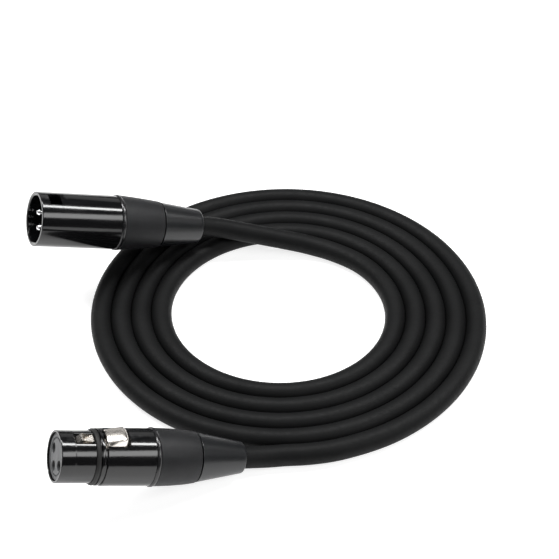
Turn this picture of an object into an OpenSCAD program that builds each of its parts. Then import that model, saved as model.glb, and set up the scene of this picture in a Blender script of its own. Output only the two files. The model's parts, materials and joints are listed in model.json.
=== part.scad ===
// Balanced audio lead: a female and a male three-pole plug on one coiled cable.
// Origin: centre of the coil on the surface that it lies on, +Z up.
// Each plug is drawn along its own +Z, from about the tip of its boot to its mating face,
// with its latch or notch towards its own +X, and is then laid in place.

/* [Cable] */
// Diameter of the cable jacket
cable_d = 7; // [6:0.1:7]
// Radius of the cable's centreline where the spiral starts
spiral_start_r = 66.9; // [60:0.1:70]
// Radius of the coil solid's hole
coil_inner_r = 36; // [34:0.5:40]
// Outer radius of the coil solid
coil_outer_r = 67; // [62:0.5:67]

/* [Female plug] */
// Diameter of the guide band around the nose that enters the mating plug
nose_d = 16; // [15.9:0.01:16.1]
// Diameter of the shell's rear body
female_body_d = 17.6; // [17.4:0.1:18.2]
// Nose-up pitch of the plug as it lies, in degrees
female_pitch = 18; // [10:1:20]
// Turn of the nose towards -Y, in degrees
female_yaw = 17.5; // [12:0.5:22]

/* [Male plug] */
// Diameter of the shell
male_body_d = 19; // [18.8:0.1:19.4]
// Diameter of the guide band at the mouth of the mating cavity
cavity_d = 16.3; // [16.2:0.05:16.5]
// Nose-up pitch of the plug as it lies, in degrees
male_pitch = 18; // [10:1:20]
// Turn of the nose towards -Y, in degrees
male_yaw = 20; // [12:0.5:24]

/* [Contacts] */
// Radius of the circle that the three poles sit on
pole_r = 3.81; // [3.81:0.01:3.81]
// Diameter of a male pin
pin_d = 2.4; // [2.35:0.01:2.42]
// Bore of a female contact
socket_d = 2.5; // [2.46:0.01:2.6]

/* [Hidden] */
$fn = 64;

cable_r = cable_d / 2;
gap = 0.05;            // between pieces that are fixed to each other
eps = 0.01;            // overrun of a cut
edge = 0.3;            // chamfer of an outer edge

// Where each plug's own origin lies, at the tip of its boot, and its roll about its own axis
female_tip = [-12.6, -71.4, 5.5];
male_tip = [-31.6, 34.2, 14.5];
female_roll = 178;
male_roll = 176;

// The cable's route beyond each boot, up to the spiral
female_route = [[-8.7, -70.2, 4.4], [-4.6, -69.3, 3.7], [0, -68.6, 3.5], [8, -68, 3.5]];
male_route = [
    [-25.4, 36.2, 12.5], [-19.2, 37, 10.6], [-12.4, 37.2, 8.8], [-5.4, 37.3, 7.1],
    [1, 37.2, 5.6], [6.8, 36.7, 4.5], [12.2, 35.4, 3.8], [17.3, 33.4, 3.5]
];
// Spiral angles, counter-clockwise from +X, between which the leads follow the coil's edge turns
female_spiral_from = 285;
female_spiral_to = 540;
male_spiral_from = 1855;
male_spiral_to = 1765;
spiral_step = 15;
tube_sides = 10;

// Both plugs, heights along the plug's axis
cable_end_z = 27;      // where the jacket ends inside a plug
bore_r = cable_r + gap;
neck_z = 20.5;         // rear end of a shell's threaded neck
neck_bore_r = 7.3;
shoulder_gap = 0.4;    // groove between the boot's shoulder and the collar
boot_tip_round = 1.5;
spigot_r = 6.3;        // the boot's part inside the collar
spigot_z = 17.5;
cone_z = 17.6;         // the collar's inner cone, which closes the chuck
cone_r = 6.2;
cone_end_z = 20.4;
chuck_z = 17.7;
chuck_jaw_r = 5.3;
chuck_jaw_z = 20;
chuck_r = 5.9;
chuck_flange_r = 7.1;
chuck_flange_z = 26;
chuck_end_z = 28;
chuck_slit_w = 0.8;
chuck_slit_z = 25;
cup_r = 1.4;
cup_bore_r = 1;
cup_open_l = 2.2;      // length of a solder cup's open side
wire_r = 0.7;
wire_spread = 0.42;    // share of pole_r at which the conductors leave the jacket
poles = [[0, -pole_r], [0, pole_r], [-pole_r, 0]];

// Female plug
f_boot_tip_z = 0.8;
f_collar_z = 16.9;
f_ring_z = 30.6;
f_body_z = 31.9;
f_body_end_z = 47.5;
f_flange_z = 48.2;
f_flange_end_z = 49.1;
f_seat_z = 49.3;
f_nose_z = 50.8;
f_band_z = 57.2;
f_front_z = 61.5;
f_boot_tip_r = 4.9;
f_boot_r = 7.75;
// the collar's side as [radius, height], from its rear end to its front end
f_collar_side = [[7.95, f_collar_z], [8.4, 20], [8.75, 24.6], [8.95, f_ring_z]];
f_neck_r = 8;
f_ring_r = 9.15;
nose_r = nose_d / 2;
nose_relief_r = nose_r - 0.2;
f_body_r = female_body_d / 2;
f_groove_r = 8.2;
f_flange_r = 8.7;
f_seat_r = 7.7;
f_gasket_r = 8.65;
f_insert_r = 7.2;
f_block_z = 44;        // rear face of the insert's solid block
f_cradle_z = 32;       // rear end of the walls that carry the latch's hinge pin
f_face_z = 60.9;
f_contact_z = 46;
f_contact_top_z = 59.2;
f_contact_r = 1.5;
f_socket_floor_z = 48;
f_cup_z = 38.5;
f_cup_floor_z = 43;
f_wire_z = 41.5;
keyway_w = 1.8;
keyway_x = 5.9;
keyway_z = 58;

// Latch: a lever that hinges behind its push tab and ends in a hook
latch_w = 5.4;
hook_w = 2.8;
channel_w = 5.8;
hook_channel_w = 4.4;
channel_step_z = 51;
channel_end_z = 57.2;
hook_window_end_z = 57;
channel_floor_x = 2.2;
pivot_x = 4.6;
pivot_z = 34.5;
pivot_pin_r = 0.6;
pivot_pin_l = 10;
pivot_bore_r = 0.65;
pivot_eye_r = 1.6;
bar_low_x = 4;
bar_high_x = 5.4;
bar_root_z = 36;       // where the bar reaches its full height in front of the eye
bar_end_z = 50.6;
tab_z = 40.9;
tab_end_z = 47.4;
tab_low_x = 7.75;
tab_w = 7;
tab_crown_x = 1.5;     // axis and radius of the tab's crown
tab_crown_r = 9;
stem_z = 41.5;
stem_end_z = 46.8;
window_z = 40.2;
window_end_z = 47.9;
window_w = 7.8;
window_corner_r = 1.6;
window_cut_x = 5;      // the windows are cut from here outwards
spring_z = 45.6;
spring_r = 1.1;
spring_wire_r = 0.18;
spring_seat_x = 0.8;
spring_seat_r = 1.45;
spring_turns = 4;

// Male plug
m_boot_tip_z = -1.1;
m_collar_z = 14.9;
m_ring_z = 30.1;
m_body_z = 31.5;
m_front_z = 60.4;
m_boot_tip_r = 5.9;
m_boot_r = 7.95;
m_collar_side = [[8.15, m_collar_z], [8.55, 18], [9.1, 23], [9.7, m_ring_z]];
m_neck_r = 8.4;
m_ring_r = 9.85;
m_body_r = male_body_d / 2;
cavity_r = cavity_d / 2;
m_guide_z = 58.9;      // the guide band runs from here to the mouth
m_inner_r = 8.35;      // the cavity behind the guide band
m_insert_z = 36;
m_face_z = 48.2;
m_pin_root_r = 1.5;
m_pin_top_z = 58.6;
m_pin_taper = 1.1;
m_cup_z = 31;
m_cup_floor_z = 35;
m_wire_z = 34;
notch_z = 52.6;
notch_end_z = 57.1;
notch_w = 5.3;
notch_cut_x = 5;
notch_cut_end_x = 10.5;
notch_ramp_x = 8.6;    // the ramp rises from here at notch_z
notch_ramp_z = 46.3;   // and would reach notch_cut_end_x here

// ---- the cable -------------------------------------------------------------

function spiral_r(a) = spiral_start_r - cable_d * (a - 360) / 360;
function spiral(a) = [spiral_r(a) * cos(a), spiral_r(a) * sin(a), cable_r];

// A plug's axis, from its boot towards its mating face
function plug_axis(pitch, yaw) = [-cos(pitch) * cos(yaw), -cos(pitch) * sin(yaw), sin(pitch)];
function inside(tip, pitch, yaw) =
    [for (z = [cable_end_z, cable_end_z / 2, 0]) tip + z * plug_axis(pitch, yaw)];

function female_path() = concat(
    inside(female_tip, female_pitch, female_yaw),
    female_route,
    [for (a = [female_spiral_from : spiral_step : female_spiral_to]) spiral(a)]
);
function male_path() = concat(
    inside(male_tip, male_pitch, male_yaw),
    male_route,
    [for (a = [male_spiral_from : -spiral_step : male_spiral_to]) spiral(a)]
);

function unit(v) = v / norm(v);
function tangent(path, i) = unit(path[min(i + 1, len(path) - 1)] - path[max(i - 1, 0)]);
function ring(centre, t, r, sides, upright) =
    let (side = unit(cross(t, upright)), up = cross(side, t))
    [for (k = [0 : sides - 1]) centre + r * (cos(k * 360 / sides) * side + sin(k * 360 / sides) * up)];

// A closed tube swept along a path that never runs along upright
module tube(path, r, sides, upright = [0, 0, 1]) {
    last = len(path) - 1;
    points = [for (i = [0 : last]) each ring(path[i], tangent(path, i), r, sides, upright)];
    walls = [
        for (i = [0 : last - 1], k = [0 : sides - 1])
        let (a = i * sides + k, b = i * sides + (k + 1) % sides)
        each [[a, b, b + sides], [a, b + sides, a + sides]]
    ];
    first_end = [for (k = [sides - 1 : -1 : 0]) k];
    far_end = [for (k = [0 : sides - 1]) last * sides + k];
    polyhedron(points, concat(walls, [first_end, far_end]));
}

module cable_coil() {
    color([0.14, 0.14, 0.15])
    rotate_extrude() {
        translate([coil_inner_r + cable_r, 0])
        square([coil_outer_r - coil_inner_r - cable_d, cable_d]);
        for (x = [coil_inner_r + cable_r, coil_outer_r - cable_r])
            translate([x, cable_r]) circle(cable_r);
    }
}

module cable_lead_female() {
    color([0.14, 0.14, 0.15]) tube(female_path(), cable_r, tube_sides);
}

module cable_lead_male() {
    color([0.14, 0.14, 0.15]) tube(male_path(), cable_r, tube_sides);
}

// ---- shared by both plugs ---------------------------------------------------

module lay(tip, pitch, yaw, roll) {
    translate(tip) rotate([0, 0, 180 + yaw]) rotate([0, 90 - pitch, 0]) rotate([0, 0, roll]) children();
}
module lay_female() { lay(female_tip, female_pitch, female_yaw, female_roll) children(); }
module lay_male() { lay(male_tip, male_pitch, male_yaw, male_roll) children(); }

// A plain cylinder between two heights
module drum(r, z0, z1) { translate([0, 0, z0]) cylinder(h = z1 - z0, r = r); }

// A block from x outwards, w wide and centred across, between two heights
module slot(x, w, z0, z1) { translate([x, -w / 2, z0]) cube([8, w, z1 - z0]); }

// A plug body turned about its axis: outline points are [radius, height]
module turned(outline) { rotate_extrude() polygon(outline); }

// A plate w wide and centred across: outline points are [distance from the axis, height]
module plate(w) { rotate([90, 0, 0]) linear_extrude(height = w, center = true) children(); }

// A conductor from the jacket's end into a solder cup
module conductor(pole, top_z) {
    start = wire_spread * pole;
    bend_z = cable_end_z + 1.5;
    cup_z = top_z - 4.5;
    path = [
        [start[0], start[1], cable_end_z],
        [start[0], start[1], bend_z],
        [(start[0] + pole[0]) / 2, (start[1] + pole[1]) / 2, (bend_z + cup_z) / 2],
        [pole[0], pole[1], cup_z],
        [pole[0], pole[1], top_z]
    ];
    tube(path, wire_r, 8, upright = [1, 1, 0]);
}

// The bore and the open side of a solder cup
module cup_cut(z0, floor_z) {
    drum(cup_bore_r, z0 - eps, floor_z);
    translate([-2, -2, z0 - eps]) cube([2, 4, cup_open_l]);
}

// Split clamp that the collar closes on the cable
module chuck() {
    difference() {
        turned([
            [bore_r, chuck_z], [chuck_jaw_r, chuck_z], [chuck_r, chuck_jaw_z], [chuck_r, chuck_flange_z],
            [chuck_flange_r, chuck_flange_z], [chuck_flange_r, chuck_end_z], [bore_r, chuck_end_z]
        ]);
        for (a = [0, 90])
            rotate(a) translate([-8, -chuck_slit_w / 2, chuck_z - 1])
                cube([16, chuck_slit_w, chuck_slit_z - chuck_z + 1]);
    }
}

// Tapered boot: a spigot in the collar and a rounded tip around the cable
module boot(tip_r, tip_z, base_r, base_z) {
    difference() {
        turned([
            [bore_r, tip_z], [tip_r - boot_tip_round, tip_z],
            [tip_r - 0.3 * boot_tip_round, tip_z + 0.3 * boot_tip_round], [tip_r, tip_z + boot_tip_round],
            [base_r, base_z], [spigot_r, base_z], [spigot_r, spigot_z], [bore_r, spigot_z]
        ]);
        drum(bore_r, tip_z - eps, spigot_z + eps);
    }
}

// Screw collar with a hole for the boot, a cone that closes the chuck and a bore over the shell's neck
module collar(side, neck_r) {
    rear = side[0];
    front = side[len(side) - 1];
    turned(concat(
        [[spigot_r + gap, rear[1]], [rear[0] - edge, rear[1]], [rear[0], rear[1] + edge]],
        [for (i = [1 : len(side) - 2]) side[i]],
        [[front[0], front[1] - edge], [front[0] - edge, front[1]], [neck_r + gap, front[1]]],
        [[neck_r + gap, cone_end_z], [neck_bore_r, cone_end_z], [cone_r, cone_z], [spigot_r + gap, cone_z]]
    ));
}

// Ring between the collar and the shell, with a lip that stands out of both
module coding_ring(neck_r, lip_r, z0, z1) {
    turned([
        [neck_r + gap, z0 + gap], [lip_r - 0.2, z0 + gap], [lip_r, z0 + 0.4], [lip_r, z1 - 0.5],
        [lip_r - edge, z1 - gap], [neck_r + gap, z1 - gap]
    ]);
}

// ---- female plug --------------------------------------------------------------

module female_shell() {
    color([0.07, 0.07, 0.075]) lay_female() difference() {
        turned([
            [neck_bore_r, neck_z], [f_neck_r, neck_z], [f_neck_r, f_body_z], [f_body_r, f_body_z],
            [f_body_r, f_body_end_z - edge], [f_body_r - edge, f_body_end_z], [f_groove_r, f_body_end_z],
            [f_groove_r, f_flange_z], [f_flange_r, f_flange_z], [f_flange_r, f_flange_end_z],
            [f_groove_r, f_flange_end_z], [f_groove_r, f_seat_z], [f_seat_r, f_seat_z], [f_seat_r, f_nose_z],
            [nose_relief_r, f_nose_z], [nose_relief_r, f_band_z], [nose_r, f_band_z],
            [nose_r, f_front_z - edge], [nose_r - edge, f_front_z], [neck_bore_r, f_front_z]
        ]);
        // window over the hook
        slot(window_cut_x, hook_channel_w, channel_step_z, hook_window_end_z);
        // window around the push tab, rounded at its rear corners
        slot(window_cut_x, window_w, window_z + window_corner_r, window_end_z);
        slot(window_cut_x, window_w - 2 * window_corner_r, window_z, window_end_z);
        for (y = [-1, 1])
            translate([window_cut_x, y * (window_w / 2 - window_corner_r), window_z + window_corner_r])
                rotate([0, 90, 0]) cylinder(h = 8, r = window_corner_r);
    }
}

module female_gasket() {
    color([0.05, 0.05, 0.05]) lay_female() turned([
        [f_seat_r + gap, f_seat_z + gap], [f_gasket_r - 0.25, f_seat_z + gap], [f_gasket_r, f_seat_z + 0.4],
        [f_gasket_r, f_nose_z - 0.5], [f_gasket_r - 0.35, f_nose_z - gap], [f_seat_r + gap, f_nose_z - gap]
    ]);
}

module female_insert() {
    color([0.25, 0.25, 0.26]) lay_female() difference() {
        union() {
            turned([
                [0, f_block_z], [f_insert_r, f_block_z], [f_insert_r, f_face_z - 0.4],
                [f_insert_r - 0.4, f_face_z], [0, f_face_z]
            ]);
            // cradle behind the block that carries the latch's hinge pin
            intersection() {
                drum(f_insert_r, f_cradle_z, f_block_z + 1);
                slot(channel_floor_x, 2 * f_insert_r, f_cradle_z, f_block_z + 1);
            }
        }
        // channel that the latch moves in
        slot(channel_floor_x, channel_w, f_cradle_z - 1, channel_step_z);
        slot(channel_floor_x, hook_channel_w, channel_step_z - eps, channel_end_z);
        // keyway in the face
        slot(keyway_x, keyway_w, keyway_z, f_face_z + 1);
        for (p = poles)
            translate(p) drum(f_contact_r + gap, f_block_z - eps, f_face_z + eps);
        translate([spring_seat_x, 0, spring_z]) rotate([0, 90, 0]) cylinder(h = 4, r = spring_seat_r);
        translate([pivot_x, 0, pivot_z]) rotate([90, 0, 0])
            cylinder(h = 16, r = pivot_pin_r + 0.02, center = true);
    }
}

module female_contact(i) {
    color([0.8, 0.72, 0.5]) lay_female() translate(poles[i]) difference() {
        union() {
            drum(f_contact_r, f_contact_z, f_contact_top_z);
            drum(cup_r, f_cup_z, f_contact_z + eps);
        }
        drum(socket_d / 2, f_socket_floor_z, f_contact_top_z + eps);
        cup_cut(f_cup_z, f_cup_floor_z);
    }
}

// Hinge eye and bar, in side outline
module lever_outline() {
    translate([pivot_x, pivot_z]) circle(pivot_eye_r, $fn = 48);
    polygon([
        [pivot_x - pivot_eye_r, pivot_z], [bar_low_x, bar_root_z], [bar_low_x, bar_end_z],
        [bar_high_x, bar_end_z], [bar_high_x, bar_root_z], [pivot_x + pivot_eye_r, pivot_z]
    ]);
}

// Front of the lever, in side outline: a rising plate, a valley and the hook with its ramp
module hook_outline() {
    polygon([
        [bar_low_x, bar_end_z - 0.2], [bar_low_x, 53.5], [4.4, 56.3], [6.9, 56.3], [8.5, 55.1], [8.5, 54.7],
        [6.3, 54.5], [6.3, 54], [6.8, 53.8], [8, 51.3], [7.8, 51.1], [bar_high_x, 51.1],
        [bar_high_x, bar_end_z - 0.2]
    ]);
}

// Push tab, in side outline: it rises from the front to a crest near its rear end
module tab_outline() {
    polygon([
        [tab_low_x, tab_z], [9.4, tab_z], [10.2, 41.4], [10.5, 42.3], [10.15, 44], [9.6, 46],
        [9, tab_end_z], [tab_low_x, tab_end_z]
    ]);
}

module female_latch() {
    color([0.72, 0.7, 0.68]) lay_female() difference() {
        union() {
            plate(latch_w) lever_outline();
            plate(hook_w) hook_outline();
            // stem under the push tab
            translate([bar_high_x - eps, -latch_w / 2, stem_z])
                cube([tab_low_x - bar_high_x + 0.4, latch_w, stem_end_z - stem_z]);
            intersection() {
                plate(tab_w) tab_outline();
                translate([tab_crown_x, 0, 0]) drum(tab_crown_r, tab_z - 1, tab_end_z + 1);
            }
        }
        translate([pivot_x, 0, pivot_z]) rotate([90, 0, 0]) cylinder(h = 9, r = pivot_bore_r, center = true);
    }
}

module female_latch_pin() {
    color([0.75, 0.75, 0.76]) lay_female() translate([pivot_x, 0, pivot_z]) rotate([90, 0, 0])
        cylinder(h = pivot_pin_l, r = pivot_pin_r, center = true);
}

// Compression spring between the insert and the lever
module female_latch_spring() {
    rise = (bar_low_x - spring_seat_x - 2 * spring_wire_r - 2 * gap) / spring_turns;
    helix = [
        for (a = [0 : 36 : 360 * spring_turns])
        [spring_r * cos(a), spring_r * sin(a), spring_wire_r + gap + rise * a / 360]
    ];
    color([0.8, 0.8, 0.82]) lay_female()
        translate([spring_seat_x, 0, spring_z]) rotate([0, 90, 0]) tube(helix, spring_wire_r, 6);
}

module female_coding_ring() {
    color([0.03, 0.03, 0.03]) lay_female() coding_ring(f_neck_r, f_ring_r, f_ring_z, f_body_z);
}
module female_collar() {
    color([0.17, 0.17, 0.18]) lay_female() collar(f_collar_side, f_neck_r);
}
module female_boot() {
    color([0.13, 0.13, 0.14]) lay_female()
        boot(f_boot_tip_r, f_boot_tip_z, f_boot_r, f_collar_z - shoulder_gap);
}
module female_chuck() { color([0.6, 0.6, 0.6]) lay_female() chuck(); }
module female_wire(i) { lay_female() conductor(poles[i], f_wire_z); }

// ---- male plug ------------------------------------------------------------------

module male_shell() {
    color([0.07, 0.07, 0.075]) lay_male() difference() {
        turned([
            [neck_bore_r, neck_z], [m_neck_r, neck_z], [m_neck_r, m_body_z], [m_body_r, m_body_z],
            [m_body_r, m_front_z - edge], [m_body_r - edge, m_front_z], [cavity_r + 0.15, m_front_z],
            [cavity_r, m_front_z - 0.15], [cavity_r, m_guide_z], [m_inner_r, m_guide_z],
            [m_inner_r, m_insert_z - gap], [neck_bore_r, m_insert_z - gap]
        ]);
        // notch that the mating hook drops into, with a ramp behind it
        plate(notch_w) polygon([
            [notch_cut_x, notch_z], [notch_ramp_x, notch_z], [notch_cut_end_x, notch_ramp_z],
            [notch_cut_end_x, notch_end_z], [notch_cut_x, notch_end_z]
        ]);
    }
}

module male_insert() {
    color([0.06, 0.06, 0.06]) lay_male() difference() {
        drum(m_inner_r - gap, m_insert_z, m_face_z);
        for (i = [0, 1, 2])
            translate(mirrored_pole(i)) drum(m_pin_root_r + gap, m_insert_z - eps, m_face_z + eps);
    }
}

// Seen from the front, the male pattern mirrors the female one
function mirrored_pole(i) = [poles[i][0], -poles[i][1]];

module male_pin(i) {
    tip_r = pin_d / 2;
    color([0.82, 0.82, 0.84]) lay_male() translate(mirrored_pole(i)) difference() {
        union() {
            turned([
                [0, m_face_z - 1], [tip_r, m_face_z - 1], [tip_r, m_pin_top_z - m_pin_taper],
                [tip_r * 0.92, m_pin_top_z - 0.6], [tip_r * 0.7, m_pin_top_z - 0.2],
                [tip_r * 0.3, m_pin_top_z], [0, m_pin_top_z]
            ]);
            drum(m_pin_root_r, m_insert_z, m_face_z);
            drum(cup_r, m_cup_z, m_insert_z + eps);
        }
        cup_cut(m_cup_z, m_cup_floor_z);
    }
}

module male_coding_ring() {
    color([0.03, 0.03, 0.03]) lay_male() coding_ring(m_neck_r, m_ring_r, m_ring_z, m_body_z);
}
module male_collar() {
    color([0.17, 0.17, 0.18]) lay_male() collar(m_collar_side, m_neck_r);
}
module male_boot() {
    color([0.13, 0.13, 0.14]) lay_male()
        boot(m_boot_tip_r, m_boot_tip_z, m_boot_r, m_collar_z - shoulder_gap);
}
module male_chuck() { color([0.6, 0.6, 0.6]) lay_male() chuck(); }
module male_wire(i) { lay_male() conductor(mirrored_pole(i), m_wire_z); }

// ---- the assembly -----------------------------------------------------------------

cable_coil();
cable_lead_female();
cable_lead_male();
female_shell();
female_gasket();
female_insert();
female_contact(0);  // female_contact_1
female_contact(1);  // female_contact_2
female_contact(2);  // female_contact_3
female_latch();
female_latch_pin();
female_latch_spring();
female_coding_ring();
female_collar();
female_boot();
female_chuck();
color("gray") female_wire(0);  // female_wire_1
color("firebrick") female_wire(1);  // female_wire_2
color("white") female_wire(2);  // female_wire_3
male_shell();
male_insert();
male_pin(0);  // male_pin_1
male_pin(1);  // male_pin_2
male_pin(2);  // male_pin_3
male_coding_ring();
male_collar();
male_boot();
male_chuck();
color("gray") male_wire(0);  // male_wire_1
color("firebrick") male_wire(1);  // male_wire_2
color("white") male_wire(2);  // male_wire_3
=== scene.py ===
import json
import math

import bmesh
import bpy
from mathutils import Matrix, Vector


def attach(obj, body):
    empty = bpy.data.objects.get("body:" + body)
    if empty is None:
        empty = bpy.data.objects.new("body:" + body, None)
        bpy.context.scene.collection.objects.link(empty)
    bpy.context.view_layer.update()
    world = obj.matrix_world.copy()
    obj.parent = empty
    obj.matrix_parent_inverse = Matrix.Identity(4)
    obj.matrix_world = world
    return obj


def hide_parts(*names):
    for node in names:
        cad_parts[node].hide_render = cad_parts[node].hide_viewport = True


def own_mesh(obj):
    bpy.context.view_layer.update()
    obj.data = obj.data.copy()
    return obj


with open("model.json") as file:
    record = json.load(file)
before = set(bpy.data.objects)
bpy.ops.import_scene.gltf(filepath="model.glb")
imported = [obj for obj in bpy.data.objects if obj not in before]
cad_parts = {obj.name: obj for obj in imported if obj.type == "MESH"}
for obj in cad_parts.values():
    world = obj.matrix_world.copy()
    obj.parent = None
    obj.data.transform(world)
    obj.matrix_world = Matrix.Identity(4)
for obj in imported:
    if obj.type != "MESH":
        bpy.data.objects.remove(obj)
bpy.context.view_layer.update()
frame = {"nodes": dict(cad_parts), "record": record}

MM = 0.001
ROOT = "cable_and_plugs"
LATCH = "latch"
MOUNTS = {m["name"]: m for m in frame["record"]["mounts"]}

# ---- camera -------------------------------------------------------------------

CAMERA_PLACE = Vector((-1.3, -418.2, 372.6)) * MM
CAMERA_ELEVATION = 40.28
LENS = 103.0


def make_camera():
    data = bpy.data.cameras.new("camera")
    data.lens = LENS
    data.sensor_width = 36
    data.clip_start = 0.01
    data.clip_end = 20
    camera = bpy.data.objects.new("camera", data)
    camera.location = CAMERA_PLACE
    camera.rotation_euler = (math.radians(90 - CAMERA_ELEVATION), 0, 0)
    bpy.context.scene.collection.objects.link(camera)
    bpy.context.scene.camera = camera


make_camera()

# ---- where the plugs lie --------------------------------------------------------

# Where two mounts lie on the Z axes of the plugs' own frames, in millimetres
FEMALE_NOSE_Z = 59.2
MALE_CAVITY_Z = 59.575


def plug_frame(mount, height, side_pole):
    """Matrix from a plug's own frame to the row's.

    The origin is near the boot's tip, +Z runs to the mating face, and +X points to the latch or its notch.
    """
    axis = Vector(MOUNTS[mount]["axis"]).normalized()
    origin = Vector(MOUNTS[mount]["pos_m"]) - axis * height * MM
    pole = Vector(MOUNTS[side_pole]["pos_m"]) - origin
    up = -(pole - axis * pole.dot(axis)).normalized()
    side = axis.cross(up)
    placed = Matrix((up, side, axis)).transposed().to_4x4()
    placed.translation = origin
    return placed


FEMALE = plug_frame("female_nose", FEMALE_NOSE_Z, "female_pole_3")
MALE = plug_frame("male_cavity", MALE_CAVITY_Z, "male_pole_3")

# ---- the cable ------------------------------------------------------------------

CABLE_D = 7
CABLE_R = CABLE_D / 2
CABLE_END_Z = 27  # height of the jacket's end in each plug's own frame
SPIRAL_R = 66.9  # radius of the cable's centre line at 360 degrees
SPIRAL_FROM = 285  # degrees; the turns run inwards from here
SPIRAL_TO = 1855
SPIRAL_STEP = 15
# Points of the two leads' centre lines between the spiral and the plugs
FEMALE_ROUTE = [(-8.7, -70.2, 4.4), (-4.6, -69.3, 3.7), (0, -68.6, 3.5), (8, -68, 3.5)]
MALE_ROUTE = [
    (-25.4, 36.2, 12.5), (-19.2, 37, 10.6), (-12.4, 37.2, 8.8), (-5.4, 37.3, 7.1),
    (1, 37.2, 5.6), (6.8, 36.7, 4.5), (12.2, 35.4, 3.8), (17.3, 33.4, 3.5),
]
CABLE_SIDES = 28
CABLE_RING_SPACING = 2.4


def spiral(angle):
    """Point of the centre line at an angle in degrees. Each turn lies against the last."""
    r = SPIRAL_R - CABLE_D * (angle - 360) / 360
    a = math.radians(angle)
    return Vector((r * math.cos(a), r * math.sin(a), CABLE_R))


def inside(plug):
    """Points on a plug's axis from the jacket's end to the plug's origin, in millimetres of the row frame."""
    return [plug @ Vector((0, 0, z * MM)) / MM for z in (CABLE_END_Z, CABLE_END_Z / 2, 0)]


def cable_points():
    """The whole centre line, from the female plug to the male one."""
    turns = [spiral(a) for a in range(SPIRAL_FROM, SPIRAL_TO + 1, SPIRAL_STEP)]
    female_end = inside(FEMALE) + [Vector(p) for p in FEMALE_ROUTE]
    male_end = inside(MALE) + [Vector(p) for p in MALE_ROUTE]
    return female_end + turns + male_end[::-1]


def smooth_path(points, spacing):
    """Centripetal Catmull-Rom curve through the points, with a new point about every spacing."""
    ends = [2 * points[0] - points[1], *points, 2 * points[-1] - points[-2]]
    path = []
    for p0, p1, p2, p3 in zip(ends, ends[1:], ends[2:], ends[3:]):
        t0, t1 = 0, math.sqrt((p1 - p0).length)
        t2 = t1 + math.sqrt((p2 - p1).length)
        t3 = t2 + math.sqrt((p3 - p2).length)
        steps = max(2, round((p2 - p1).length / spacing))
        for k in range(steps):
            t = t1 + (t2 - t1) * k / steps
            a1 = p0.lerp(p1, (t - t0) / (t1 - t0))
            a2 = p1.lerp(p2, (t - t1) / (t2 - t1))
            a3 = p2.lerp(p3, (t - t2) / (t3 - t2))
            b1 = a1.lerp(a2, (t - t0) / (t2 - t0))
            b2 = a2.lerp(a3, (t - t1) / (t3 - t1))
            path.append(b1.lerp(b2, (t - t1) / (t2 - t1)))
    return path + [points[-1]]


# ---- mesh code ------------------------------------------------------------------

ALIGNED = Matrix.Identity(4)
SHARP_ANGLE = math.radians(32)  # edges that turn by more than this stay sharp
ON_AXIS = 1e-6  # a radius under this is taken as the axis itself
FACET_TILT = 0.09  # sideways part of a normal, up to which it only comes from the facets
FILLET_STEPS = 4
FILLET_SHARE = 0.48  # most that one rounded corner takes of a side
MITRE_LIMIT = 0.5  # keeps a sharp corner from moving more than twice the distance
CUTTER_REACH = 3  # how far a window's cutter stands out of the surface
TURNED_SIDES = 120
SMALL_SIDES = 48  # facets of pins, discs and holes


def make_object(name, bm, place=ALIGNED):
    """A new object from a bmesh drawn in millimetres, smooth except at sharp edges."""
    bmesh.ops.scale(bm, vec=(MM, MM, MM), verts=bm.verts)
    bmesh.ops.recalc_face_normals(bm, faces=bm.faces)
    mesh = bpy.data.meshes.new(name)
    bm.to_mesh(mesh)
    bm.free()
    mesh.shade_smooth()
    mesh.set_sharp_from_angle(angle=SHARP_ANGLE)
    obj = bpy.data.objects.new(name, mesh)
    obj.matrix_world = place
    bpy.context.scene.collection.objects.link(obj)
    return obj


def apply_modifiers(obj):
    """The object's mesh becomes what its modifiers make of it."""
    evaluated = obj.evaluated_get(bpy.context.evaluated_depsgraph_get())
    mesh = bpy.data.meshes.new_from_object(evaluated)
    obj.modifiers.clear()
    old = obj.data
    obj.data = mesh
    bpy.data.meshes.remove(old)


def even_normals(obj, round_axis=True):
    """Normals weighted by face size; on a turned piece they point straight away from its axis."""
    weighted = obj.modifiers.new("weighted", "WEIGHTED_NORMAL")
    weighted.keep_sharp = True
    weighted.weight = 100
    apply_modifiers(obj)
    if not round_axis:
        return
    mesh = obj.data
    normals = [n.vector.copy() for n in mesh.corner_normals]
    for loop, normal in zip(mesh.loops, normals):
        co = mesh.vertices[loop.vertex_index].co
        r = math.hypot(co.x, co.y)
        if r < ON_AXIS:
            continue
        around = Vector((-co.y / r, co.x / r, 0))
        stray = normal.dot(around)
        if abs(stray) < FACET_TILT:
            normal -= around * stray
            normal.normalize()
    mesh.normals_split_custom_set(normals)


def fillet(outline, closed=True):
    """Outline points are (x, y) or (x, y, radius), where the corner is rounded."""
    rounded = []
    count = len(outline)
    for i, point in enumerate(outline):
        b = Vector(point[:2])
        if len(point) < 3 or (not closed and i in (0, count - 1)):
            rounded.append(b)
            continue
        to_a = Vector(outline[i - 1][:2]) - b
        to_c = Vector(outline[(i + 1) % count][:2]) - b
        half = to_a.angle(to_c) / 2
        longest = FILLET_SHARE * min(to_a.length, to_c.length)
        reach = min(point[2] / math.tan(half), longest)
        a = b + to_a.normalized() * reach
        c = b + to_c.normalized() * reach
        for k in range(FILLET_STEPS + 1):
            s = k / FILLET_STEPS
            rounded.append(a * (1 - s) ** 2 + b * 2 * s * (1 - s) + c * s * s)
    return rounded


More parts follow.
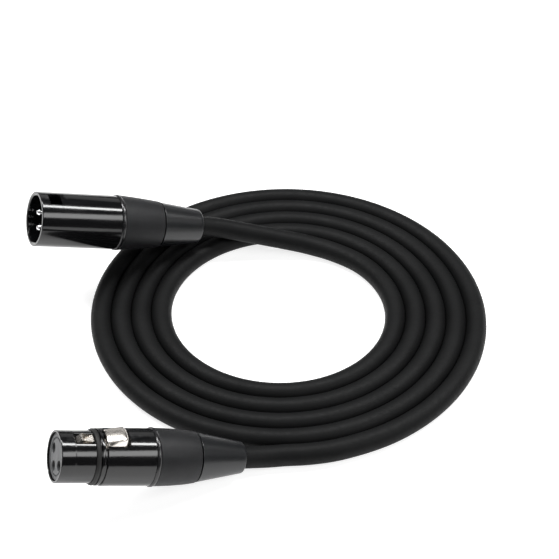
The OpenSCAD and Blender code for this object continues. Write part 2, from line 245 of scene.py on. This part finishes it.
def turned(outline, sides=TURNED_SIDES, closed=True):
    """Surface of revolution about Z, from points (radius, height[, corner radius]).

    A closed outline is that of a hollow piece. An open one starts and ends on the axis.
    """
    points = fillet(outline, closed=closed)
    bm = bmesh.new()
    rings = []
    for x, z in points:
        if x < ON_AXIS:
            rings.append([bm.verts.new((0, 0, z))])
            continue
        angles = [2 * math.pi * k / sides for k in range(sides)]
        rings.append([bm.verts.new((x * math.cos(a), x * math.sin(a), z)) for a in angles])
    pairs = list(zip(rings, rings[1:]))
    if closed:
        pairs.append((rings[-1], rings[0]))
    for low, high in pairs:
        for k in range(sides):
            bottom = [low[k % len(low)], low[(k + 1) % len(low)]]
            top = [high[(k + 1) % len(high)], high[k % len(high)]]
            face = list(dict.fromkeys(bottom + top))
            if len(face) > 2:
                bm.faces.new(face)
    return bm


def stacked(layers):
    """A closed solid from outlines with equal point counts, each a list of points in space."""
    bm = bmesh.new()
    rings = [[bm.verts.new(p) for p in layer] for layer in layers]
    for low, high in zip(rings, rings[1:]):
        for k in range(len(low)):
            n = (k + 1) % len(low)
            bm.faces.new((low[k], low[n], high[n], high[k]))
    bm.faces.new(rings[0])
    bm.faces.new(rings[-1])
    return bm


def swept(path, radius, sides):
    """A tube along a path, with frames that don't twist, and a UV map of (around, metres along)."""
    bm = bmesh.new()
    uv = bm.loops.layers.uv.new("UVMap")
    side = Vector((0, 0, 1))
    rings = []
    along = [0.0]
    for a, b in zip(path, path[1:]):
        along.append(along[-1] + (b - a).length * MM)
    for i, centre in enumerate(path):
        ahead = (path[min(i + 1, len(path) - 1)] - path[max(i - 1, 0)]).normalized()
        side = (side - ahead * side.dot(ahead)).normalized()
        other = ahead.cross(side)
        ring = []
        for k in range(sides):
            a = 2 * math.pi * k / sides
            ring.append(bm.verts.new(centre + radius * (math.cos(a) * side + math.sin(a) * other)))
        rings.append(ring)
    for i, (low, high) in enumerate(zip(rings, rings[1:])):
        for k in range(sides):
            n = (k + 1) % sides
            face = bm.faces.new((low[k], low[n], high[n], high[k]))
            places = [(k, i), (k + 1, i), (k + 1, i + 1), (k, i + 1)]
            for loop, (column, row) in zip(face.loops, places):
                loop[uv].uv = (column / sides, along[row])
    bm.faces.new(rings[0])
    bm.faces.new(rings[-1])
    return bm


def combine(obj, operation, *solids):
    """Joins closed solids to an object (UNION) or cuts them out of it (DIFFERENCE).

    The solids are bmeshes in millimetres, in the object's own frame.
    """
    for i, bm in enumerate(solids):
        tool = make_object(f"tool_{i}", bm, obj.matrix_world)
        modifier = obj.modifiers.new("combine", "BOOLEAN")
        modifier.operation = operation
        modifier.solver = "EXACT"
        modifier.object = tool
        bpy.context.view_layer.update()
        apply_modifiers(obj)
        mesh = tool.data
        bpy.data.objects.remove(tool)
        bpy.data.meshes.remove(mesh)
    obj.data.shade_smooth()
    obj.data.set_sharp_from_angle(angle=SHARP_ANGLE)


def cut(obj, *cutters):
    """Cuts closed solids out of an object."""
    combine(obj, "DIFFERENCE", *cutters)


def grown(outline, by):
    """A closed outline moved outwards by a distance."""
    area = sum(a.x * b.y - b.x * a.y for a, b in zip(outline, outline[1:] + outline[:1]))
    sign = 1 if area > 0 else -1
    moved = []
    for before, here, after in zip(outline[-1:] + outline[:-1], outline, outline[1:] + outline[:1]):
        n1 = Vector(((here - before).y, -(here - before).x)).normalized()
        n2 = Vector(((after - here).y, -(after - here).x)).normalized()
        middle = (n1 + n2).normalized()
        moved.append(here + middle * sign * by / max(MITRE_LIMIT, middle.dot(n1)))
    return moved


def plate(outline, width, bevel=0.08):
    """A plate centred on the local XZ plane, from an (x, z) outline, with bevelled faces."""
    points = fillet(outline)
    inset = grown(points, -bevel)
    half = width / 2
    layers = [(inset, -half), (points, bevel - half), (points, half - bevel), (inset, half)]
    return stacked([[(p.x, y, p.y) for p in layer] for layer, y in layers])


def window_cutter(outline, surface_r, deep_x, chamfer):
    """Cutter for a window on a turned wall's +X side, with a chamfer that follows the curved surface."""
    points = fillet(outline)
    wide = grown(points, 2 * chamfer)
    low, high = surface_r - chamfer, surface_r + chamfer
    return stacked([
        [(deep_x, p.x, p.y) for p in points],
        [(math.sqrt(low**2 - p.x**2), p.x, p.y) for p in points],
        [(math.sqrt(high**2 - p.x**2), p.x, p.y) for p in wide],
        [(surface_r + CUTTER_REACH, p.x, p.y) for p in wide],
    ])


def drill(r, z0, z1, centre, rim):
    """Cutter for a hole along Z, that also countersinks its upper rim at z1."""
    outline = [(0, z0), (r, z0), (r, z1 - rim), (r + 2 * rim, z1 + rim), (0, z1 + rim)]
    bm = turned(outline, SMALL_SIDES, closed=False)
    bmesh.ops.translate(bm, vec=(*centre, 0), verts=bm.verts)
    return bm


# ---- materials ------------------------------------------------------------------


class Surface:
    """A Principled material with short ways to add nodes. Scales are in features per metre."""

    def __init__(self, name, **values):
        self.material = bpy.data.materials.new(name)
        self.material.use_nodes = True
        self.tree = self.material.node_tree
        self.shader = self.tree.nodes["Principled BSDF"]
        for key, value in values.items():
            self.shader.inputs[key.replace("_", " ")].default_value = value
        coordinates = self.add("ShaderNodeTexCoord")
        self.place = coordinates.outputs["Object"]
        self.along = coordinates.outputs["UV"]

    def add(self, kind, **settings):
        node = self.tree.nodes.new(kind)
        for key, value in settings.items():
            setattr(node, key, value)
        return node

    def link(self, source, target):
        self.tree.links.new(source, target)

    def stretched(self, scale, source=None):
        mapping = self.add("ShaderNodeMapping")
        mapping.inputs["Scale"].default_value = scale
        self.link(source or self.place, mapping.inputs["Vector"])
        return mapping.outputs["Vector"]

    def noise(self, scale, detail=2.0, rough=0.5, vector=None):
        node = self.add("ShaderNodeTexNoise")
        node.inputs["Scale"].default_value = scale
        node.inputs["Detail"].default_value = detail
        node.inputs["Roughness"].default_value = rough
        self.link(vector or self.place, node.inputs["Vector"])
        return node.outputs["Fac"]

    def span(self, source, low, high, start=0.3, end=0.7):
        """Maps a source value from start..end to low..high."""
        node = self.add("ShaderNodeMapRange")
        for key, value in zip(("From Min", "From Max", "To Min", "To Max"), (start, end, low, high)):
            node.inputs[key].default_value = value
        self.link(source, node.inputs["Value"])
        return node.outputs["Result"]

    def blend(self, factor, low, high):
        """The colour low where the factor is 0, and high where it is 1."""
        node = self.add("ShaderNodeMix", data_type="RGBA")
        self.link(factor, node.inputs["Factor"])
        for key, colour in (("A", low), ("B", high)):
            socket = next(s for s in node.inputs if s.name == key and s.type == "RGBA")
            socket.default_value = (*colour, 1)
        return next(s for s in node.outputs if s.type == "RGBA")

    def multiply(self, a, b):
        node = self.add("ShaderNodeMath", operation="MULTIPLY")
        self.link(a, node.inputs[0])
        self.link(b, node.inputs[1])
        return node.outputs[0]

    def bump(self, height, distance, strength=1.0, after=None):
        node = self.add("ShaderNodeBump")
        node.inputs["Strength"].default_value = strength
        node.inputs["Distance"].default_value = distance
        self.link(height, node.inputs["Height"])
        if after is not None:
            self.link(after, node.inputs["Normal"])
        return node.outputs["Normal"]

    def edges(self):
        """1 along convex edges and 0 elsewhere. Pointiness is 0.5 on a flat face."""
        geometry = self.add("ShaderNodeNewGeometry")
        return self.span(geometry.outputs["Pointiness"], 0, 1, start=0.52, end=0.6)

    def set(self, **sources):
        """Links node outputs to the shader's inputs, and returns the finished material."""
        for key, source in sources.items():
            self.link(source, self.shader.inputs[key.replace("_", " ")])
        return self.material


def cable_jacket():
    """Matt jacket with faint lines along its length."""
    s = Surface("cable_jacket", IOR=1.45, Specular_IOR_Level=0.14)
    colour = s.blend(s.span(s.noise(90, 4), 0, 1), (0.0042, 0.0044, 0.0046), (0.0066, 0.0068, 0.007))
    lines = s.noise(1, 3, 0.6, s.stretched((90, 60, 1), s.along))
    grain = s.bump(s.noise(5200, 3), distance=0.00002, strength=0.8)
    return s.set(
        Base_Color=colour,
        Roughness=s.span(s.noise(700, 3), 0.5, 0.62),
        Normal=s.bump(lines, distance=0.00003, strength=0.5, after=grain),
    )


def shell_black():
    """Black chrome, smeared a little and worn on its edges."""
    s = Surface("shell_black", IOR=1.52)
    worn = s.multiply(s.edges(), s.span(s.noise(600, 4), 0, 1, start=0.45, end=0.6))
    colour = s.blend(worn, (0.0035, 0.0035, 0.004), (0.03, 0.03, 0.031))
    smears = s.noise(1, 4, 0.6, s.stretched((260, 260, 60)))
    return s.set(
        Base_Color=colour,
        Roughness=s.span(smears, 0.09, 0.16),
        Normal=s.bump(s.noise(900, 2), distance=0.000012, strength=0.5),
    )


def moulded(name, dark, light, rough, grain_scale, grain_depth, ior=1.46, spread=0.04):
    """Moulded plastic or rubber with a fine grain and slight changes of tone."""
    s = Surface(name, IOR=ior)
    colour = s.blend(s.span(s.noise(220, 4), 0, 1), dark, light)
    grain = s.noise(grain_scale, 3, 0.6)
    return s.set(
        Base_Color=colour,
        Roughness=s.span(s.noise(420, 3), rough - spread, rough + spread),
        Normal=s.bump(grain, grain_depth),
    )


def metal(name, dark, light, rough, brush=(900, 900, 120), depth=0.000004):
    """Plated or ground metal with a fine brushed finish."""
    s = Surface(name, Metallic=1.0)
    streaks = s.noise(1, 4, 0.65, s.stretched(brush))
    return s.set(
        Base_Color=s.blend(s.span(streaks, 0, 1), dark, light),
        Roughness=s.span(streaks, rough * 0.8, rough * 1.25),
        Normal=s.bump(streaks, depth),
    )


MATERIALS = {
    "cable_jacket": cable_jacket(),
    "shell_black": shell_black(),
    "rubber_ring": moulded(
        "rubber_ring", (0.004, 0.004, 0.004), (0.007, 0.007, 0.007),
        rough=0.6, grain_scale=3000, grain_depth=0.00002,
    ),
    "insert_grey": moulded(
        "insert_grey", (0.07, 0.072, 0.075), (0.095, 0.097, 0.1),
        rough=0.5, grain_scale=3200, grain_depth=0.000025,
    ),
    "insert_black": moulded(
        "insert_black", (0.006, 0.006, 0.007), (0.01, 0.01, 0.011),
        rough=0.45, grain_scale=3200, grain_depth=0.00002,
    ),
    "ring_black": moulded(
        "ring_black", (0.005, 0.005, 0.006), (0.009, 0.009, 0.01),
        rough=0.25, grain_scale=2200, grain_depth=0.000006, ior=1.5,
    ),
    "collar_charcoal": moulded(
        "collar_charcoal", (0.0062, 0.0064, 0.0073), (0.009, 0.0093, 0.0106),
        rough=0.5, grain_scale=4200, grain_depth=0.00003, ior=1.36,
    ),
    "boot_black": moulded(
        "boot_black", (0.006, 0.0065, 0.0075), (0.008, 0.0086, 0.0098),
        rough=0.3, grain_scale=2600, grain_depth=0.0000003, ior=1.5, spread=0.006,
    ),
    "chuck_nylon": moulded(
        "chuck_nylon", (0.36, 0.36, 0.35), (0.44, 0.44, 0.43),
        rough=0.45, grain_scale=1500, grain_depth=0.00001,
    ),
    "wire_red": moulded(
        "wire_red", (0.38, 0.02, 0.015), (0.5, 0.03, 0.02),
        rough=0.35, grain_scale=2000, grain_depth=0.000005,
    ),
    "wire_white": moulded(
        "wire_white", (0.66, 0.66, 0.63), (0.76, 0.76, 0.73),
        rough=0.35, grain_scale=2000, grain_depth=0.000005,
    ),
    "wire_shield": metal("wire_shield", (0.45, 0.4, 0.34), (0.62, 0.57, 0.5), rough=0.35),
    "latch_nickel": metal(
        "latch_nickel", (0.68, 0.64, 0.59), (0.82, 0.78, 0.73),
        rough=0.25, brush=(300, 5200, 300), depth=0.0000008,
    ),
    "pin_steel": metal("pin_steel", (0.45, 0.45, 0.46), (0.62, 0.62, 0.63), rough=0.25),
    "spring_steel": metal("spring_steel", (0.42, 0.42, 0.44), (0.58, 0.58, 0.6), rough=0.28),
    "pin_silver": metal("pin_silver", (0.72, 0.72, 0.73), (0.86, 0.86, 0.87), rough=0.17),
    "contact_gold": metal("contact_gold", (0.62, 0.45, 0.2), (0.8, 0.62, 0.32), rough=0.24),
}


def finish_piece(obj, slot, body, *nodes):
    """Gives a piece its finish, the body it rides on and the CAD nodes it stands for."""
    obj.data.materials.clear()
    obj.data.materials.append(MATERIALS[slot])
    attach(obj, body)
    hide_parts(*nodes)


# ---- cable ----------------------------------------------------------------------


def make_cable():
    path = smooth_path(cable_points(), CABLE_RING_SPACING)
    corner_r = CABLE_R / math.cos(math.pi / CABLE_SIDES)  # so that the facets touch CABLE_R
    cable = make_object("cable", swept(path, corner_r, CABLE_SIDES))
    finish_piece(cable, "cable_jacket", ROOT, "cable_coil", "cable_lead_female", "cable_lead_male")


make_cable()

# ---- shared by both plugs ---------------------------------------------------------

# Outlines are points (radius, height[, corner radius]) in a plug's own frame
POLE_R = 3.81
POLES = [(0, -POLE_R), (0, POLE_R), (-POLE_R, 0)]
POLE_HOLE_R = 1.55
GAP = 0.05  # between pieces that are fixed to each other
NECK_Z = 20.5
NECK_BORE_R = 7.3
BORE_R = CABLE_R + GAP
SPIGOT_R = 6.3  # the boot's spigot, which the collar holds
SPIGOT_END_Z = 17.5
COLLAR_BORE_R = 6.35
CONE_R = 6.2  # narrow end of the collar's inner cone, which closes the chuck
CONE_Z = 17.6
CONE_END_Z = 20.4


def make_turned(name, outline, place, slot, node):
    obj = make_object(name, turned(outline), place)
    even_normals(obj)
    finish_piece(obj, slot, ROOT, node)


def make_boot(name, tip_r, tip_z, base_r, base_z, place, node):
    """Tapered boot with a spigot that runs into the collar."""
    outline = [
        (BORE_R, tip_z, 0.1), (tip_r, tip_z, 1.6), (base_r, base_z, 0.15),
        (SPIGOT_R, base_z), (SPIGOT_R, SPIGOT_END_Z, 0.2), (BORE_R, SPIGOT_END_Z),
    ]
    make_turned(name, outline, place, "boot_black", node)


def make_collar(name, side, neck_r, place, node):
    """Side points are (radius, height), from the collar's rear end to its front end."""
    (rear_r, z0), *middle, (front_r, z1) = side
    side_blend_r = 30
    outline = [
        (COLLAR_BORE_R, z0), (rear_r, z0, 0.3), *[(r, z, side_blend_r) for r, z in middle],
        (front_r, z1, 0.3), (neck_r + GAP, z1), (neck_r + GAP, CONE_END_Z),
        (NECK_BORE_R, CONE_END_Z), (CONE_R, CONE_Z), (COLLAR_BORE_R, CONE_Z),
    ]
    make_turned(name, outline, place, "collar_charcoal", node)


# ---- female plug ------------------------------------------------------------------

F_NECK_R = 8
F_BODY_Z = 31.9
F_BODY_R = 8.8
F_BODY_END_Z = 47.5
F_NOSE_Z = 50.8
F_NOSE_R = 8.0
F_RELIEF_R = 7.97
F_FRONT_Z = 61.5
F_FACE_Z = 60.9
WINDOW_CUT_X = 5  # windows are cut from here outwards
CHANNEL_FLOOR_X = 2.2
LATCH_W = 5.4
HINGE = (4.6, 34.5)  # (x, z) of the latch's hinge


def make_female_shell():
    shell = make_object("shell_female", turned([
        (NECK_BORE_R, NECK_Z), (F_NECK_R, NECK_Z, 0.2), (F_NECK_R, F_BODY_Z),
        (F_BODY_R, F_BODY_Z, 0.12), (F_BODY_R, F_BODY_END_Z, 0.3),
        (8.2, F_BODY_END_Z), (8.2, 48.2), (8.7, 48.2, 0.15), (8.7, 49.1, 0.15), (8.2, 49.1), (8.2, 49.3),
        (7.7, 49.3), (7.7, F_NOSE_Z), (F_RELIEF_R, F_NOSE_Z, 0.08), (F_RELIEF_R, 57, 0.3),
        (F_NOSE_R, 57.2, 0.3), (F_NOSE_R, F_FRONT_Z, 0.32), (NECK_BORE_R, F_FRONT_Z, 0.15),
    ]), FEMALE)
    hook_window = [(-2.2, 51), (2.2, 51), (2.2, 57, 0.4), (-2.2, 57, 0.4)]
    tab_window = [(-3.9, 40.2, 1.6), (3.9, 40.2, 1.6), (3.9, 47.9), (-3.9, 47.9)]
    cut(
        shell,
        window_cutter(hook_window, F_RELIEF_R, WINDOW_CUT_X, chamfer=0.12),
        window_cutter(tab_window, F_BODY_R, WINDOW_CUT_X, chamfer=0.2),
    )
    even_normals(shell)
    finish_piece(shell, "shell_black", ROOT, "female_shell")


def make_female_insert():
    """Insert without the spring's seat and the hinge pin's bore, which only the CAD's has."""
    insert = make_object("insert_female", turned([
        (0, 44), (7.2, 44, 0.2), (7.2, F_FACE_Z, 0.35), (5.9, F_FACE_Z, 0.1), (5.9, F_FACE_Z - 0.35, 0.05),
        (5.5, F_FACE_Z - 0.35, 0.05), (5.5, F_FACE_Z, 0.1), (0, F_FACE_Z),
    ], closed=False), FEMALE)
    cradle = [(CHANNEL_FLOOR_X, 32, 0.3), (5.8, 32, 0.3), (5.8, 44.5), (CHANNEL_FLOOR_X, 44.5)]
    lever_channel = [(CHANNEL_FLOOR_X, 31), (8, 31), (8, 51), (CHANNEL_FLOOR_X, 51)]
    hook_channel = [(CHANNEL_FLOOR_X, 50.9), (8, 50.9), (8, 57.2), (CHANNEL_FLOOR_X, 57.2)]
    keyway = [(5.9, 58), (8, 58), (8, 62), (5.9, 62)]
    combine(insert, "UNION", plate(cradle, width=8.4))
    holes = [drill(POLE_HOLE_R, 43, F_FACE_Z, pole, rim=0.12) for pole in POLES]
    channels = [plate(lever_channel, width=5.8), plate(hook_channel, width=4.4), plate(keyway, width=1.8)]
    cut(insert, *channels, *holes)
    even_normals(insert)
    finish_piece(insert, "insert_grey", ROOT, "female_insert")


def tab_section(crest, z, half_width):
    """Cross-section of the push tab: a gently curved top that turns over into a skirt on each side."""
    # Points are (x, share of the half width)
    half = [
        (7.75, 1), (8.1, 1), (crest - 0.75, 0.863), (crest - 0.5, 0.814), (crest - 0.36, 0.743),
        (crest - 0.2, 0.571), (crest - 0.08, 0.314), (crest, 0),
    ]
    right = [(x, y * half_width, z) for x, y in half]
    return right + [(x, -y, z) for x, y, z in right[-2::-1]]


def disc(centre, r, width):
    """A disc across the local Y axis, with its centre at (x, z)."""
    x, z = centre
    angles = [2 * math.pi * k / SMALL_SIDES for k in range(SMALL_SIDES)]
    return plate([(x + r * math.cos(a), z + r * math.sin(a)) for a in angles], width, bevel=0.05)


def make_latch():
    bar = [(3.05, 34.5), (4, 36, 0.8), (4, 50.6), (5.4, 50.6), (5.4, 36, 0.8), (6.15, 34.5)]
    hook = [
        (4, 50.4), (4, 53.5, 1), (4.4, 56.3, 0.2), (6.9, 56.3, 0.15), (8.5, 55.1, 0.15), (8.5, 54.7, 0.1),
        (6.35, 54.5, 0.15), (6.35, 54, 0.15), (6.8, 53.8, 0.2), (8, 51.3, 0.2), (7.8, 51.1, 0.1),
        (5.3, 51.1), (5.3, 50.4),
    ]
    stem = [(5.2, 41.6), (8, 41.6), (8, 46.8), (5.2, 46.8)]
    # Sections of the tab are (crest, z, half width)
    tab = [
        (9.35, 40.9, 2.5), (9.8, 41, 2.8), (10.15, 41.3, 3.15), (10.36, 41.7, 3.38), (10.45, 42.3, 3.5),
        (10.36, 43, 3.5), (10.12, 44, 3.5), (9.85, 45, 3.5), (9.57, 46, 3.5), (9.25, 46.8, 3.45),
        (9.05, 47.2, 3.4), (8.85, 47.4, 3.3),
    ]
    latch = make_object("latch", plate(bar, LATCH_W), FEMALE)
    combine(
        latch,
        "UNION",
        disc(HINGE, r=1.6, width=LATCH_W),
        plate(hook, width=2.8, bevel=0.12),
        plate(stem, LATCH_W),
        stacked([tab_section(*row) for row in tab]),
    )
    cut(latch, disc(HINGE, r=0.65, width=9))
    even_normals(latch, round_axis=False)
    finish_piece(latch, "latch_nickel", LATCH, "female_latch")


def make_spring():
    """The latch's return spring."""
    seat_x = 0.8
    lever_x = 4
    spring_z = 45.6
    coil_r = 1.1
    wire_r = 0.18
    wire_sides = 10
    turns = 4
    steps_a_turn = 20
    low_x = seat_x + wire_r + GAP
    high_x = lever_x - wire_r - GAP
    path = []
    for i in range(turns * steps_a_turn + 1):
        a = 2 * math.pi * i / steps_a_turn
        x = low_x + (high_x - low_x) * i / (turns * steps_a_turn)
        path.append(Vector((x, coil_r * math.sin(a), spring_z - coil_r * math.cos(a))))
    spring = make_object("spring_latch", swept(path, wire_r, wire_sides), FEMALE)
    finish_piece(spring, "spring_steel", ROOT, "female_latch_spring")
    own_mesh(spring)


make_female_shell()
make_female_insert()
make_latch()
make_spring()
make_turned("gasket_female", [
    (7.75, 49.35), (8.45, 49.35, 0.3), (8.65, 50, 0.5), (8.35, 50.75, 0.3), (7.75, 50.75),
], FEMALE, "rubber_ring", "female_gasket")
make_turned("coding_ring_female", [
    (8.05, 30.65), (9, 30.65, 0.1), (9.15, 31, 0.1), (9.15, 31.45, 0.2), (8.9, 31.85, 0.15), (8.05, 31.85),
], FEMALE, "ring_black", "female_coding_ring")
make_collar("collar_female", [
    (7.95, 16.9), (8.4, 20), (8.75, 24.6), (8.95, 30.6),
], F_NECK_R, FEMALE, "female_collar")
make_boot("boot_female", 4.9, 0.8, 7.75, 16.5, FEMALE, "female_boot")

# ---- male plug --------------------------------------------------------------------

M_NECK_R = 8.4
M_BODY_Z = 31.5
M_BODY_R = 9.5
M_FRONT_Z = 60.4
CAVITY_R = 8.35
GUIDE_R = 8.15
GUIDE_Z = 58.9  # the guide band runs from here to the mouth
M_INSERT_Z = 36
M_FACE_Z = 48.2


def make_male_shell():
    shell = make_object("shell_male", turned([
        (NECK_BORE_R, NECK_Z), (M_NECK_R, NECK_Z, 0.2), (M_NECK_R, M_BODY_Z),
        (M_BODY_R, M_BODY_Z, 0.12), (M_BODY_R, M_FRONT_Z, 0.3),
        (GUIDE_R + 0.4, M_FRONT_Z, 0.1), (GUIDE_R, M_FRONT_Z - 0.25, 0.1), (GUIDE_R, GUIDE_Z, 0.1),
        (CAVITY_R, GUIDE_Z), (CAVITY_R, M_INSERT_Z - GAP), (NECK_BORE_R, M_INSERT_Z - GAP),
    ]), MALE)
    notch = [(-2.65, 52.6), (2.65, 52.6), (2.65, 57.1, 0.3), (-2.65, 57.1, 0.3)]
    ramp = [(5, 52.6), (8.6, 52.6), (10.5, 46.3), (10.5, 56), (5, 56)]
    cut(shell, window_cutter(notch, M_BODY_R, WINDOW_CUT_X, chamfer=0.2), plate(ramp, width=5.3))
    even_normals(shell)
    finish_piece(shell, "shell_black", ROOT, "male_shell")


def make_male_insert():
    insert = make_object("insert_male", turned([
        (0, M_INSERT_Z), (8.3, M_INSERT_Z), (8.3, M_FACE_Z, 0.2), (0, M_FACE_Z),
    ], closed=False), MALE)
    cut(insert, *[drill(POLE_HOLE_R, 35, M_FACE_Z, (x, -y), rim=0.1) for x, y in POLES])
    even_normals(insert)
    finish_piece(insert, "insert_black", ROOT, "male_insert")


def make_pins():
    """Solid pins. Only the CAD's pins have solder cups."""
    pin_r = 1.2
    root_r = 1.5
    tail_r = 1.4
    tail_z = 31
    top_z = 58.6
    outline = [
        (0, tail_z), (tail_r, tail_z, 0.1), (tail_r, M_INSERT_Z), (root_r, M_INSERT_Z),
        (root_r, M_FACE_Z, 0.15), (pin_r, M_FACE_Z, 0.05), (pin_r, 57.8, 0.8), (0.6, top_z, 0.5), (0, top_z),
    ]
    for i, (x, y) in enumerate(POLES):
        bm = turned(outline, SMALL_SIDES, closed=False)
        place = MALE @ Matrix.Translation((x * MM, -y * MM, 0))
        pin = make_object(f"pin_male_{i + 1}", bm, place)
        even_normals(pin)
        finish_piece(pin, "pin_silver", ROOT, f"male_pin_{i + 1}")


make_male_shell()
make_male_insert()
make_pins()
make_turned("coding_ring_male", [
    (8.45, 30.15), (9.7, 30.15, 0.1), (9.85, 30.5, 0.1),
    (9.85, 31.05, 0.2), (9.6, 31.45, 0.15), (8.45, 31.45),
], MALE, "ring_black", "male_coding_ring")
make_collar("collar_male", [
    (8.15, 14.9), (8.55, 18), (9.1, 23), (9.7, 30.1),
], M_NECK_R, MALE, "male_collar")
make_boot("boot_male", 5.9, -1.1, 7.95, 14.5, MALE, "male_boot")

# ---- CAD pieces that stay as they are -----------------------------------------------

KEPT = {
    "female_contact_1": "contact_gold",
    "female_contact_2": "contact_gold",
    "female_contact_3": "contact_gold",
    "female_latch_pin": "pin_steel",
    "female_chuck": "chuck_nylon",
    "male_chuck": "chuck_nylon",
    "female_wire_1": "wire_shield",
    "female_wire_2": "wire_red",
    "female_wire_3": "wire_white",
    "male_wire_1": "wire_shield",
    "male_wire_2": "wire_red",
    "male_wire_3": "wire_white",
}
for node, slot in KEPT.items():
    for held in frame["nodes"][node].material_slots:
        held.material = MATERIALS[slot]

# ---- floor, light and colour --------------------------------------------------------


def make_floor():
    bm = bmesh.new()
    half = 4000
    floor_z = -0.02
    corners = [(-half, -half), (half, -half), (half, half), (-half, half)]
    bm.faces.new([bm.verts.new((x, y, floor_z)) for x, y in corners])
    floor = make_object("floor", bm)
    s = Surface(
        "floor_paper",
        Roughness=0.9,
        Specular_IOR_Level=0,
        Emission_Color=(1, 1, 1, 1),
        Emission_Strength=0.8,
    )
    colour = s.blend(s.span(s.noise(3, 2), 0, 1), (0.6, 0.6, 0.6), (0.62, 0.62, 0.62))
    floor.data.materials.append(s.set(Base_Color=colour))


def make_light(name, elevation, azimuth, distance, size, radiance):
    """A white softbox that faces the origin, with its size as (width, height) in metres.

    An elevation over 90 lies beyond the zenith.
    """
    data = bpy.data.lights.new(name, "AREA")
    data.shape = "RECTANGLE"
    data.size, data.size_y = size
    data.energy = radiance * math.pi * size[0] * size[1]
    light = bpy.data.objects.new(name, data)
    e, a = math.radians(elevation), math.radians(azimuth)
    away = Vector((math.sin(a) * math.cos(e), -math.cos(a) * math.cos(e), math.sin(e)))
    light.location = away * distance
    light.rotation_mode = "QUATERNION"
    light.rotation_quaternion = away.to_track_quat("Z", "Y")
    bpy.context.scene.collection.objects.link(light)


def make_world():
    world = bpy.data.worlds.new("world")
    world.use_nodes = True
    background = world.node_tree.nodes["Background"]
    background.inputs["Color"].default_value = (1, 1, 1, 1)
    background.inputs["Strength"].default_value = 0.06
    bpy.context.scene.world = world


make_floor()
make_world()
make_light("top_strip", elevation=106, azimuth=0, distance=1.3, size=(2.6, 0.2), radiance=22)
make_light("side_box", elevation=41, azimuth=62, distance=1.5, size=(0.9, 0.36), radiance=5.5)
make_light("front_box", elevation=57, azimuth=0, distance=1.5, size=(2.4, 0.3), radiance=1)
make_light("left_box", elevation=25, azimuth=-80, distance=1.8, size=(0.9, 1.2), radiance=0.4)
make_light("back_box", elevation=25, azimuth=180, distance=2.0, size=(2.0, 0.8), radiance=0.5)
bpy.context.scene.view_settings.view_transform = "Standard"
